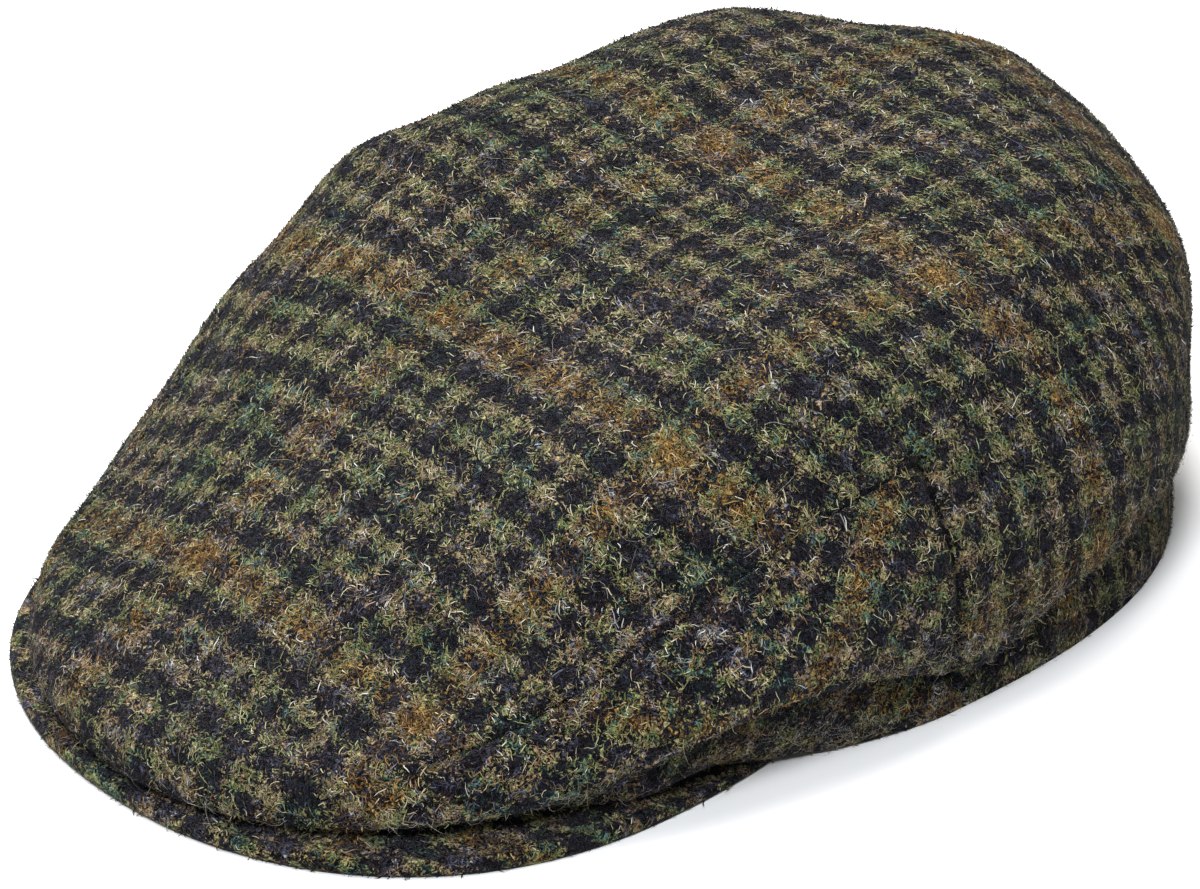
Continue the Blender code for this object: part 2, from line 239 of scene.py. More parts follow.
# Stripes: how much narrower an even dark stripe is, how far from its middle and how sharply dark
# turns to light, in half checks, and the least share of light fibres and what is added to it
EVEN_STRIPE_LOSS = 0.24
STRIPE_EDGE = 0.68
STRIPE_SHARPNESS = 2.8
LEAST_LIGHT = 0.02
ADDED_LIGHT = 0.95

# How often the yarns that run along the cap lie on top, and how much more often those of an odd
# stripe do, in the cloth and in its nap
CLOTH_WEAVE = dict(often=0.40, odd=0.45)
NAP_WEAVE = dict(often=0.44, odd=0.20)

# Clouds of numbers in the tweed: how strongly they work, how many waves come to the metre, and
# how fine and how twisted they are
CLOUDS = {
    "ragged_across": dict(strength=0.8, scale=330.0, detail=3.0),
    "ragged_along": dict(strength=0.8, scale=330.0, detail=3.0, offset=(0.3, 0.1, 0.2)),
    "speckle": dict(strength=1.5, scale=380.0, detail=4.0, distortion=1.0, roughness=0.7),
    "patches": dict(strength=1.1, scale=110.0, detail=1.0, offset=(0.6, 0.1, 0.8)),
    "crossing": dict(strength=7.0, scale=800.0, detail=1.0, distortion=1.0, offset=(0.7, 0.4, 0.9)),
    "chance": dict(strength=2.4, scale=950.0, detail=2.0, distortion=1.2, offset=(0.2, 0.9, 0.5)),
    "upper_fibres": dict(strength=12.0, scale=650.0, detail=1.0, distortion=1.4),
    "lower_fibres": dict(strength=12.0, scale=1050.0, detail=1.0, distortion=1.4,
                         offset=(0.4, 0.8, 0.2)),
}
TUFTS = dict(scale=520.0, detail=2.0, distortion=0.8)
FIBRE_SHARPNESS = 3.0

# How much of the cloth's tone (painted shade) and of a fibre's length and width is lost where the shade
# is complete
SHADE_LOSS = 0.8

# Tone and relief that the two layers of fibres and their tufts give the cloth under its nap
# The tone is partly the fibres' own and partly painted shade in the dark gaps between fibres and tufts.
FIBRE_TONES_AND_GAP_SHADE = dict(upper=2.3, lower=0.9, tufts=1.6, least=0.2)
RELIEF = dict(upper=0.55, lower=0.25, tufts=0.6)
BUMP = {"Strength": 0.9, "Distance": 0.0009}

# Painted shading across a fibre of the nap: its tone in its middle, a painted highlight, and what it
# loses towards its edges, painted shade
NAP_MIDDLE_HIGHLIGHT = 1.5
NAP_EDGE_SHADE = 2.6

# Dry wool: matt, with a faint bloom at glancing angles
WOOL = {"Roughness": 0.92, "Specular IOR Level": 0.08, "Sheen Weight": 0.05, "Sheen Roughness": 0.3,
        "Sheen Tint": (0.80, 0.80, 0.88, 1.0)}

# Fibre colours that the yarns are spun from: the place of each along the noise of the cloth
# underneath, and how often a fibre of the nap has it
LIGHT_FIBRES = table("name place color share", [
    ("teal", 0.24, (0.046, 0.087, 0.080), 0.08),
    ("moss", 0.33, (0.070, 0.100, 0.038), 0.14),
    ("olive", 0.42, (0.121, 0.123, 0.045), 0.20),
    ("straw", 0.50, (0.180, 0.159, 0.080), 0.21),
    ("sand", 0.58, (0.176, 0.136, 0.076), 0.12),
    ("rust", 0.66, (0.150, 0.083, 0.038), 0.09),
    ("slate", 0.75, (0.086, 0.097, 0.124), 0.07),
    ("cream", 0.84, (0.210, 0.198, 0.162), 0.09),
])
DARK_FIBRES = table("name place color share", [
    ("bottle", 0.28, (0.007, 0.012, 0.013), 0.12),
    ("ink", 0.40, (0.005, 0.005, 0.010), 0.38),
    ("soot", 0.52, (0.006, 0.005, 0.009), 0.28),
    ("umber", 0.61, (0.015, 0.008, 0.007), 0.10),
    ("storm", 0.70, (0.027, 0.029, 0.044), 0.12),
])
RUST_FIBRES = table("name place color share", [
    ("amber", 0.38, (0.184, 0.116, 0.032), 0.38),
    ("rust", 0.52, (0.142, 0.072, 0.019), 0.35),
    ("umber", 0.66, (0.050, 0.029, 0.010), 0.27),
])

# Colours of the stray fibres and of those along the fold, which stand partly for a painted sheen, with
# how often they come
PALE_FIBRES = table("name color share", [
    ("cream", (0.260, 0.240, 0.195), 0.60),
    ("lilac", (0.190, 0.190, 0.235), 0.20),
    ("straw", (0.230, 0.190, 0.095), 0.20),
])

# Kinds of fibre: the steps that one is made of, how far it rises, how much it curls and strays
# from its neighbours' way, and how much the tones differ
NAP_KIND = dict(steps=3, lift=0.00035, curl=2.6, spread=0.8, contrast=0.55)
STRAY_KIND = dict(length=0.0075, width=0.00008, steps=8, lift=0.0008, curl=2.2, spread=1.6,
                  contrast=0.25, colors=PALE_FIBRES)
# Pale fibres along the fold are partly loose fibres and partly a painted sheen along the fold's edge
FOLD_FUZZ_AND_SHEEN_KIND = dict(length=0.0030, width=0.00010, steps=3, lift=0.0007, curl=1.2, spread=1.6,
                 contrast=0.3, colors=PALE_FIBRES, fold_only=True)

# How fibres fall and drift over the cloth, how their way swings from place to place, how much
# they differ in length, rise, curl and width, and how they taper and arch
FIBRE_FALL = np.array([0.0, 0.25, -1.0])
FIBRE_DRIFT = np.array([0.15, 0.1, 0.0])
WAY_SWING = 2.4
WAY_PATCH = 0.0022
WAY_WOBBLE = 0.5
WOBBLE_TURNS = 3
LENGTH_SPREAD = 0.35
LIFT_SPREAD = 0.4
CURL_SPREAD = 0.4
WIDTH_RANGE = (0.7, 1.3)
TAPER = 0.6
ARCH = 0.8 * math.pi
ROOT_DEPTH = 0.0001
FLOOR_GAP = 0.0002

# Patches in which fibres of one colour gather, how fast the draw leans and how much it counts
COLOR_PATCHES = [dict(size=0.0018, seed=3), dict(size=0.0070, seed=4)]
COLOR_LEAN = 0.6
LEAN_SHARE = 0.75

# Tones of the fibres: their mean, from root to tip with painted shade at the root, how fast and how far
# the bright ones pale as a painted highlight, and the brightest
TONE_MEAN = -0.04
PAINTED_ROOT_SHADE_RAMP = (0.7, 1.3)
HIGHLIGHT_PALING = 0.35
MOST_HIGHLIGHT_PALING = 0.5
BRIGHTEST = 0.4

# Camera and lights
CAMERA_TURN = math.radians(49)
CAMERA_RISE = math.radians(30)
CAMERA_DISTANCE = 1.384
CAMERA_TARGET = Vector((0.015, -0.01375, 0.0434))
SENSOR_WIDTH = 36.0
NEAREST_SEEN = 0.05
LIGHTS = table("name place size power color", [
    ("key", (0.64, -0.74, 1.22), 0.45, 24.5, (0.93, 0.96, 1.0)),
    ("overhead", (-0.10, -0.05, 1.30), 0.8, 18.5, (1.0, 0.98, 0.95)),
    ("far", (-1.10, 0.20, 0.90), 0.8, 21.5, (1.0, 0.99, 0.98)),
])
SKY = {"Color": (1.0, 1.0, 1.0, 1.0), "Strength": 0.22}
FLOOR_SIZE = 6.0
FLOOR_ROUGHNESS = 0.8


class FlatCapCloth(bpy.types.PropertyGroup):
    """Sizes of the tweed."""
    thickness: FloatProperty(
        name="Thickness", description="Thickness of the cloth", default=0.0021, unit="LENGTH")
    check_across: FloatProperty(
        name="Check across", description="Width of one check", default=0.0088, unit="LENGTH")
    check_along: FloatProperty(
        name="Check along", description="Length of one check", default=0.0094, unit="LENGTH")
    overcheck: IntProperty(
        name="Overcheck", description="Checks from one rust stripe to the next", default=8)


class FlatCapNap(bpy.types.PropertyGroup):
    """The fibres that stand on the cloth."""
    length: FloatProperty(
        name="Length", description="Usual length of a fibre", default=0.0021, unit="LENGTH")
    width: FloatProperty(
        name="Width", description="Width of a fibre", default=0.00032, unit="LENGTH")
    top_fibres: IntProperty(
        name="Top fibres", description="Fibres of each of the three shares of the top", default=38000)
    side_fibres: IntProperty(
        name="Side fibres", description="Fibres of each side panel", default=7500)
    peak_fibres: IntProperty(
        name="Peak fibres", description="Fibres on the peak", default=8000)
    stray_fibres: IntProperty(
        name="Stray fibres", description="Long pale fibres in all", default=360)
    fold_fibres: IntProperty(
        name="Fold fibres", description="Pale fibres along the fold of each side", default=900)


class FlatCapStage(bpy.types.PropertyGroup):
    """The floor and the camera's lens."""
    floor_color: FloatVectorProperty(
        name="Floor", description="Colour of the floor", subtype="COLOR", size=3,
        default=(0.86, 0.86, 0.86))
    focal_length: FloatProperty(
        name="Focal length", description="Focal length of the lens in millimetres", default=195.0)


def ease(start, end, value):
    """Smooth step from 0 at the start to 1 at the end."""
    share = np.clip((value - start) / (end - start), 0.0, 1.0)
    return share * share * (3 - 2 * share)


def hump(distance, width):
    """1 in the middle, and next to nothing twice the width away."""
    return np.exp(-(distance / width) ** 2)


def unit(vectors):
    """The same directions, each of length 1."""
    return vectors / np.linalg.norm(vectors, axis=1, keepdims=True)


def lengths_along(points):
    """How far each point lies along the line through them all."""
    return np.concatenate([[0.0], np.cumsum(np.linalg.norm(np.diff(points, axis=0), axis=1))])


def signed_turn(angle):
    """The same angles, from half a turn one way to half a turn the other."""
    return (angle + math.pi) % math.tau - math.pi


def turn_from_front(angle):
    """How far an angle is from the front, to either side."""
    return np.abs(signed_turn(angle))


def ring_table():
    """Reaches and heights of the rings in metres and their squareness, with one more ring at each
    end, so that the crown's curve runs straight off the hem and level over the pole."""
    rows = []
    for ring in RINGS:
        reaches = HEM_REACHES if ring["name"] in HEM_RINGS else CROWN_REACHES
        rows.append([*np.multiply(ring["reach"], reaches),
                     *np.multiply(ring["height"], CROWN_HEIGHT), *ring["square"]])
    rows = np.array(rows)
    below = 2 * rows[0] - rows[1]
    beyond = rows[-2].copy()
    beyond[:3] *= -1
    return np.vstack([below, rows, beyond])


RING_TABLE = ring_table()


def ring_at(level):
    """The rings at some levels, by a smooth curve through the rings of the table."""
    index = np.clip(level.astype(int), 0, POLE_LEVEL - 1)
    share = (level - index)[:, None]
    before, start, end, after = (RING_TABLE[index + step] for step in range(4))
    bend = 2 * before - 5 * start + 4 * end - after
    twist = 3 * start - before - 3 * end + after
    return 0.5 * (2 * start + (end - before) * share + bend * share ** 2 + twist * share ** 3)


def smooth_crown(angle, level):
    """Places on the crown without its swells."""
    front, side, back, front_z, side_z, back_z, front_square, back_square = ring_at(level).T
    across = np.sin(angle)
    along = np.cos(angle)
    ahead = along > 0
    reach = np.where(ahead, front, back)
    square = np.where(ahead, front_square, back_square)
    height = side_z + (np.where(ahead, front_z, back_z) - side_z) * np.abs(along) ** HEIGHT_BLEND
    with np.errstate(divide="ignore", invalid="ignore"):
        radius = (np.abs(across / side) ** square + np.abs(along / reach) ** square) ** (-1 / square)
    radius = np.where(level < POLE_LEVEL, radius, 0.0)
    return np.stack([radius * across, CENTRE_Y - radius * along, height], axis=1)


def crown_normal(angle, level):
    """Directions out of the cloth."""
    step = 0.01
    around = smooth_crown(angle + step, level) - smooth_crown(angle - step, level)
    upper = smooth_crown(angle, np.minimum(level + step, POLE_LEVEL))
    climb = upper - smooth_crown(angle, np.maximum(level - step, 0.0))
    normal = np.cross(around, climb)
    length = np.linalg.norm(normal, axis=1, keepdims=True)
    normal = np.where(length > 0, normal / np.maximum(length, 1e-12), (0.0, 0.0, 1.0))
    normal[level <= LEVELS["hem_top"], 2] = 0.0
    return normal


def swell_at(angle, level):
    """How far the cloth stands out of the smooth crown."""
    total = np.zeros_like(angle)
    for swell in SWELLS:
        climb_share = (level - swell["level"]) / swell["spread"][1]
        for side in swell.get("sides", (1,)):
            turn = signed_turn(angle - side * math.radians(swell["angle"]))
            turn_share = turn / math.radians(swell["spread"][0])
            total += swell["depth"] * np.exp(-turn_share ** 2 - climb_share ** 2)
    return CROWN_HEIGHT * total * np.minimum(1.0, POLE_LEVEL - level)


def seam_level(angle):
    """Level of the front seam, which climbs from the tip to the apex over the temple."""
    turn = turn_from_front(angle)
    share = np.clip((turn - TIP_ANGLE) / (REAR_SEAM_ANGLE - TIP_ANGLE), 0.0, 1.0)
    return TIP_LEVEL + (EDGE_LEVEL - TIP_LEVEL) * (1 - (1 - share) ** SEAM_CURVE)


def rear_seam(level):
    """Angle of the rear seam."""
    return REAR_SEAM_ANGLE + REAR_SEAM_LEAN * np.maximum(0.0, 1 - level / FOLD_LEVEL)


def seam_distances(angle, level):
    """Distances to the nearest front seam and rear seam, past whose ends they grow on."""
    turn = turn_from_front(angle)
    step = 0.1
    upper = smooth_crown(angle, np.minimum(level + step, POLE_LEVEL))
    run = np.linalg.norm(upper - smooth_crown(angle, level), axis=1) / step
    past_tip = np.maximum(TIP_ANGLE - turn, 0.0) + np.maximum(turn - REAR_SEAM_ANGLE, 0.0)
    front = np.hypot((level - seam_level(angle)) * run, past_tip * CROWN_HALF_WIDTH)
    above = np.maximum(level - EDGE_LEVEL, 0.0) * run
    rear = np.hypot((turn - rear_seam(level)) * CROWN_HALF_WIDTH, above)
    return front, rear


def seam_relief(angle, level):
    """Groove of the seams, with the soft roll of cloth on both sides of it."""
    start = ease(*SEAM_RELIEF_TURN, turn_from_front(angle))
    fade = (SEAM_RELIEF_AT_TIP + (1 - SEAM_RELIEF_AT_TIP) * start) * ease(*SEAM_RELIEF_LEVEL, level)
    relief = np.zeros_like(angle)
    for seam, distance in zip(SEAMS, seam_distances(angle, level)):
        relief -= seam["depth"] * hump(distance, seam["width"])
        relief += SEAM_ROLL["height"] * hump(distance - SEAM_ROLL["away"], SEAM_ROLL["width"])
    return fade * relief


def painted_shade(angle, level):
    """How much painted shade darkens a place in a seam or under the fold: 0 on open cloth."""
    turn = turn_from_front(angle)
    shades = [seam["shade"] * hump(distance, seam["width"])
              for seam, distance in zip(SEAMS, seam_distances(angle, level))]
    seams = np.maximum(*shades) * ease(*SEAM_SHADE_TURN, turn) * ease(*SEAM_SHADE_LEVEL, level)
    around = ease(*UNDER_FOLD_START, turn) * (1 - UNDER_FOLD_REAR_LOSS * ease(*UNDER_FOLD_REAR, turn))
    under = UNDER_FOLD["shade"] * around * hump(level - UNDER_FOLD["level"], UNDER_FOLD["spread"])
    return np.maximum(seams, under)


def peak_ratio(x, y):
    """How far out a place lies on the peak: 0 at its centre, 1 on its rim."""
    depth = np.where(y < PEAK_CENTRE_Y, PEAK_DEPTH, PEAK_DEPTH * PEAK_REAR_STRETCH)
    across = np.abs(x / PEAK_HALF_WIDTH) ** PEAK_SQUARENESS
    along = np.abs((y - PEAK_CENTRE_Y) / depth) ** PEAK_SQUARENESS
    return (across + along) ** (1 / PEAK_SQUARENESS)


def peak_underside(x, y):
    """Height of the peak's lower face: flat along the rim, then arched up to the opening."""
    foot = math.hypot(PEAK_FOOT_RATIO, PEAK_TOP_ROUNDING)
    place = np.hypot(peak_ratio(x, y), PEAK_TOP_ROUNDING)
    return PEAK_RISE * np.maximum(0.0, foot - place) / (foot - PEAK_TOP_ROUNDING)


def angle_on_peak(x, y):
    """How far a place is turned round the peak's centre, from the front to either side."""
    return np.abs(np.arctan2(x, PEAK_CENTRE_Y - y))


def peak_thickness(x, y):
    """Thickness of the peak, less towards its rear ends."""
    taper = ease(PEAK_TAPER_ANGLE, PEAK_END_ANGLE, angle_on_peak(x, y))
    return PEAK_THICKNESS + (PEAK_END_THICKNESS - PEAK_THICKNESS) * taper


def cloth_on_peak(x, y):
    """Height of cloth lying on the peak, easing down to the ground behind the peak's ends."""
    cover = 1 - ease(PEAK_END_ANGLE, PEAK_OUT_ANGLE, angle_on_peak(x, y))
    inward = 1 - bpy.context.scene.flat_cap_cloth.thickness / PEAK_HALF_WIDTH
    inner = peak_underside(x * inward, PEAK_CENTRE_Y + (y - PEAK_CENTRE_Y) * inward)
    return cover * (inner + peak_thickness(x, y) + CLOTH_ON_PEAK_GAP)


def fold_lift(angle, level):
    """How far the places near the fold are raised."""
    turn = turn_from_front(angle)
    height = sum(lift["height"] * hump(turn - math.radians(lift["angle"]), math.radians(lift["spread"]))
                 for lift in FOLD_LIFTS)
    near = hump(level - FOLD_LIFT_LEVEL, FOLD_LIFT_SPREAD)
    return height * near * ease(*FOLD_LIFT_START, level)


def crown_surface(angle, level):
    """Places on the outside of the crown's cloth."""
    stand = swell_at(angle, level) + seam_relief(angle, level)
    point = smooth_crown(angle, level) + crown_normal(angle, level) * stand[:, None]
    point[:, 2] += fold_lift(angle, level)
    floor = np.where(level <= FOLD_LEVEL, cloth_on_peak(point[:, 0], point[:, 1]), 0.0)
    point[:, 2] = np.maximum(point[:, 2], floor)
    return point


def run_on(values):
    """The same values with one more at each end, past which a length grows as fast as a place."""
    return np.concatenate([[values[0] - LINE_OVERRUN], values, [values[-1] + LINE_OVERRUN]])


def lengths_over(angle, axis):
    """Length of cloth over the top along a line through the pole, against places on the axis."""
    levels = np.linspace(EDGE_LEVEL, POLE_LEVEL, LINE_POINTS)
    ahead = smooth_crown(np.full(LINE_POINTS, angle), levels)
    behind = smooth_crown(np.full(LINE_POINTS, angle + math.pi), levels)
    line = np.vstack([ahead[:-1], behind[::-1]])
    lengths = lengths_along(line)
    return run_on(line[:, axis]), run_on(lengths - lengths[LINE_POINTS - 1])


ALONG_TABLE = lengths_over(0.0, 1)
ACROSS_TABLE = lengths_over(-math.pi / 2, 0)


def flat_across(x, y):
    """Place across the flat cloth, from the rust stripe beside the cap's middle."""
    skewed = x - GRAIN_SKEW * (y - RUST_ALONG)
    return np.interp(skewed, *ACROSS_TABLE) - np.interp(RUST_ACROSS, *ACROSS_TABLE)


def flat_along(x, y):
    """Place along the flat cloth, from the rust stripe in front of the cap's middle."""
    swept = np.maximum(np.abs(x) - GRAIN_SWEEP_START, 0.0)
    bowed = y - GRAIN_BOW * x ** 2 - GRAIN_SWEEP * swept ** 2
    return np.interp(bowed, *ALONG_TABLE) - np.interp(RUST_ALONG, *ALONG_TABLE)


def run_between(angle, low, high):
    """Length of cloth between two levels, less than nothing where the first is the higher."""
    total = np.zeros_like(angle)
    place = smooth_crown(angle, low)
    for step in range(1, ARC_STEPS + 1):
        level = low + (high - low) * step / ARC_STEPS
        following = smooth_crown(angle, level)
        total += np.linalg.norm(following - place, axis=1)
        place = following
    return total * np.sign(high - low)


def top_cloth_place(angle, level):
    """Where places on the top panel lay on the flat cloth. Below the edge of the top the cloth
    runs on down the front, the sides and the back."""
    turn = signed_turn(angle)
    swing = np.abs(turn)
    down = np.maximum(run_between(angle, level, np.full_like(level, EDGE_LEVEL)), 0.0)
    here = smooth_crown(angle, level)
    edge = smooth_crown(angle, np.maximum(level, EDGE_LEVEL))
    end = np.where(swing > math.pi / 2, 1.0, -1.0)
    by_side = np.stack([flat_across(edge[:, 0], edge[:, 1]) + np.sign(turn) * down,
                        flat_along(edge[:, 0], here[:, 1])])
    by_end = np.stack([flat_across(here[:, 0], edge[:, 1]),
                       flat_along(edge[:, 0], edge[:, 1]) + end * down])
    share = ease(*OVER_SIDE_START, swing) * (1 - ease(*OVER_SIDE_END, swing))
    return (by_end + (by_side - by_end) * share).T


def side_cloth_place(angle, level):
    """Where places on a side panel lay on the flat cloth, which is turned on this panel."""
    samples = np.linspace(0.0, math.pi, RING_POINTS)
    ring = smooth_crown(samples, np.full(RING_POINTS, WALL_LEVEL + 0.5))
    back = np.interp(turn_from_front(angle), samples, lengths_along(ring))
    up = run_between(angle, np.full_like(level, FOLD_LEVEL), level)
    along = back * math.cos(SIDE_GRAIN_ALONG) + up * math.sin(SIDE_GRAIN_ALONG)
    across = back * math.cos(SIDE_GRAIN_ACROSS) + up * math.sin(SIDE_GRAIN_ACROSS)
    cloth = bpy.context.scene.flat_cap_cloth
    return np.stack([(across - SIDE_RUST_ACROSS) * cloth.check_across / SIDE_CHECK_ACROSS,
                     (SIDE_RUST_ALONG - along) * cloth.check_along / SIDE_CHECK_ALONG], axis=1)


def crowded(start, end, count):
    """Places from start to end that stand closer together at both ends."""
    share = np.linspace(0.0, 1.0, count + 1)
    return start + (end - start) * (share - COLUMN_CROWDING * np.sin(math.tau * share) / math.tau)


def new_cloth():
    """Empty mesh in the making, whose vertices remember their place on the flat cloth and, as
    the third number, how much painted shade darkens them in a seam or under the fold."""
    bm = bmesh.new()
    bm.verts.layers.float_vector.new("flat")
    return bm


def lay_cloth(bm, columns, rows, place):
    """Sheet with a vertex at each column and row. The place function gives their places on the
    cap and on the flat cloth, and how much painted shade darkens each in a seam or under the fold."""
    across = len(columns) - 1
    along = len(rows) - 1
    sheet = bmesh.ops.create_grid(bm, x_segments=across, y_segments=along, size=0.5)
    corners = np.array([vert.co[:2] for vert in sheet["verts"]]) + 0.5
    column = columns[np.rint(corners[:, 0] * across).astype(int)]
    row = rows[np.rint(corners[:, 1] * along).astype(int)]
    points, flats, shades = place(column, row)
    flats = np.column_stack([flats, shades])
    layer = bm.verts.layers.float_vector["flat"]
    for vert, point, flat in zip(sheet["verts"], points.tolist(), flats.tolist()):
        vert.co = point
        vert[layer] = flat


def ripple(bm):
    """Gives the cloth the small hills and hollows of a soft thing."""
    bm.normal_update()
    for vert in bm.verts:
        stand = sum(wave["height"] * noise.noise(vert.co / wave["size"]) for wave in RIPPLES)
        stand *= float(ease(*RIPPLE_START, vert.co.z))
        vert.co += vert.normal * stand


def read_rows(items, name, columns, kind=float):
    """One row of numbers for each of a mesh's items."""
    values = np.zeros(columns * len(items), dtype=kind)
    items.foreach_get(name, values)
    return values.reshape(-1, columns)


def add_object(name, data):
    """Object of a mesh, a lamp or a camera."""
    thing = bpy.data.objects.new(name, data)
    bpy.context.scene.collection.objects.link(thing)
    return thing


def add_piece(name, mesh, finish, make):
    """Piece of the cap, in a finish that is made the first time that it is asked for."""
    mesh.materials.append(bpy.data.materials.get(finish) or make(finish))
    mesh.shade_smooth()
    piece = add_object(name, mesh)
    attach(piece, "root")
    return piece


def sew(name, shape, *side):
    """Piece of cloth in the tweed, with its place on the flat cloth as its UV map."""
    bm = new_cloth()
    shape(bm, *side)
    bmesh.ops.remove_doubles(bm, verts=bm.verts, dist=WELD_DISTANCE)
    bmesh.ops.dissolve_degenerate(bm, edges=bm.edges, dist=WELD_DISTANCE)
    ripple(bm)
    mesh = bpy.data.meshes.new(name)
    bm.to_mesh(mesh)
    bm.free()
    flats = read_rows(mesh.attributes["flat"].data, "vector", 3)
    corners = read_rows(mesh.loops, "vertex_index", 1, int)[:, 0]
    layer = mesh.uv_layers.new(name="cloth")
    layer.data.foreach_set("uv", flats[corners, :2].ravel())
    return add_piece(name, mesh, "Tweed", cloth_material)


def give_thickness(piece):
    """Wall of cloth, laid inwards."""
    wall = piece.modifiers.new("Cloth", "SOLIDIFY")
    wall.thickness = bpy.context.scene.flat_cap_cloth.thickness
    wall.offset = -1
    wall.use_quality_normals = True


def on_crown(angle, level, cloth_place):
    """Places on the crown, their places on the flat cloth and their painted shade."""
    return crown_surface(angle, level), cloth_place(angle, level), painted_shade(angle, level)


def top_cloth(bm):
    """Front, top and back of the crown in one cloth."""
    front = crowded(-TIP_ANGLE, TIP_ANGLE, FRONT_COLUMNS)
    left = np.linspace(TIP_ANGLE, REAR_SEAM_ANGLE, SIDE_COLUMNS + 1)
    back = crowded(REAR_SEAM_ANGLE, math.tau - REAR_SEAM_ANGLE, BACK_COLUMNS)
    right = math.tau - left[::-1]

    def over_seams(angle, share):
        edge = seam_level(angle)
        return on_crown(angle, edge + (POLE_LEVEL - edge) * share, top_cloth_place)

    around = np.concatenate([front, left[1:], back[1:], right[1:]])
    rows = np.linspace(0.0, 1.0, TOP_ROWS + 1) ** ROW_CROWDING
    lay_cloth(bm, around, rows, over_seams)

    def below_edge(angle, share):
        level = seam_level(angle) * share
        beside = (math.pi - turn_from_front(angle)) / (math.pi - REAR_SEAM_ANGLE)
        lean = (rear_seam(level) - REAR_SEAM_ANGLE) * beside * np.sign(signed_turn(angle))
        return on_crown(angle + np.where(beside <= 1, lean, 0.0), level, top_cloth_place)

    lay_cloth(bm, front, np.linspace(0.0, 1.0, FRONT_ROWS + 1), below_edge)
    lay_cloth(bm, back, np.linspace(0.0, 1.0, BACK_ROWS + 1), below_edge)


def side_cloth(bm, side):
    """Three-cornered panel over the ear, left (1) or right (-1)."""
    columns = crowded(TIP_ANGLE, REAR_SEAM_ANGLE, PANEL_COLUMNS) * side

    def place(angle, share):
        level = seam_level(angle) * share
        beside = (np.abs(angle) - TIP_ANGLE) / (REAR_SEAM_ANGLE - TIP_ANGLE)
        lean = (rear_seam(level) - REAR_SEAM_ANGLE) * beside * side
        return on_crown(angle + lean, level, side_cloth_place)

    rows = 1 - np.linspace(1.0, 0.0, PANEL_ROWS + 1) ** ROW_CROWDING
    lay_cloth(bm, columns[::side], rows, place)


def rim_point(angle):
    """Places on the outline of the peak."""
    across = np.sin(angle)
    along = -np.cos(angle)
    radius = 1 / peak_ratio(across, PEAK_CENTRE_Y + along)
    return np.stack([radius * across, PEAK_CENTRE_Y + radius * along], axis=1)


def opening_point(angle):
    """Places on the inner edge of the peak, along the front of the head opening."""
    end = rim_point(np.array([PEAK_END_ANGLE]))[0]
    turn = angle / PEAK_END_ANGLE * math.pi / 2
    front_y = CENTRE_Y - OPENING_FRONT_REACH
    return np.stack([(end[0] - PEAK_END_WIDTH) * np.sin(turn),
                     end[1] - (end[1] - front_y) * np.cos(turn)], axis=1)


def peak_section():
    """Corners round the peak's cross-section, from the opening along the top, round the rim and
    back along the underside: way in, lift, stand back, and length of cloth round the rim."""
    shares = np.linspace(0.0, 1.0, PEAK_TOP_ROWS + 1) ** PEAK_ROW_CROWDING
    top = [(share, 1.0, 1.0, 0.0) for share in shares[::-1]]
    edge = []
    for step in range(1, PEAK_EDGE_STEPS):
        turn = math.pi / 2 - math.pi * step / PEAK_EDGE_STEPS
        edge.append((0.0, (1 + math.sin(turn)) / 2, 1 - math.cos(turn), step / PEAK_EDGE_STEPS))
    under = [(share, 0.0, 1.0, 1.0) for share in shares]
    return np.array(top + edge + under + top[:1])


def peak_cloth(bm):
    """Crescent with a rounded rim, closed at its two rear ends."""
    angles = np.linspace(-PEAK_END_ANGLE, PEAK_END_ANGLE, PEAK_SECTIONS + 1)
    section = peak_section()

    def place(angle, corner):
        way_in, lift, back, wrapped = section[corner.astype(int)].T
        rim = rim_point(angle)
        opening = opening_point(angle)
        inward = unit(opening - rim)
        start = rim + inward * (PEAK_EDGE_DEPTH * back)[:, None]
        x, y = (start + (opening - start) * way_in[:, None]).T
        thickness = peak_thickness(x, y)
        height = peak_underside(x, y) + lift * thickness
        cloth = np.column_stack([flat_across(x, y), flat_along(x, y)])
        cloth -= inward * (wrapped * thickness)[:, None]
        return np.column_stack([x, y, height]), cloth, np.zeros_like(height)

    lay_cloth(bm, angles, np.arange(len(section), dtype=float), place)
    bmesh.ops.remove_doubles(bm, verts=bm.verts, dist=WELD_DISTANCE)
    bmesh.ops.holes_fill(bm, edges=bm.edges, sides=0)
    bmesh.ops.recalc_face_normals(bm, faces=bm.faces)


def math_operator(operation, swapped=False):
    """One of Python's operators on signals, which adds a Math node."""
    def add_node(self, *others):
        values = (*others, self) if swapped else (self, *others)
        return self.recipe.add("ShaderNodeMath", {"operation": operation}, dict(enumerate(values)))
    return add_node


class Signal:
    """One output in a material. Python's operators on it add Math nodes."""
    __add__ = math_operator("ADD")
    __radd__ = math_operator("ADD", swapped=True)
    __sub__ = math_operator("SUBTRACT")
    __rsub__ = math_operator("SUBTRACT", swapped=True)
    __mul__ = math_operator("MULTIPLY")
    __rmul__ = math_operator("MULTIPLY", swapped=True)
    __truediv__ = math_operator("DIVIDE")
    __mod__ = math_operator("FLOORED_MODULO")
    __abs__ = math_operator("ABSOLUTE")
    __round__ = math_operator("ROUND")

    def __init__(self, recipe, socket):
        self.recipe = recipe
        self.socket = socket

    def clamped(self):
        """Kept between 0 and 1."""
        kept = self + 0.0
        kept.socket.node.use_clamp = True
        return kept


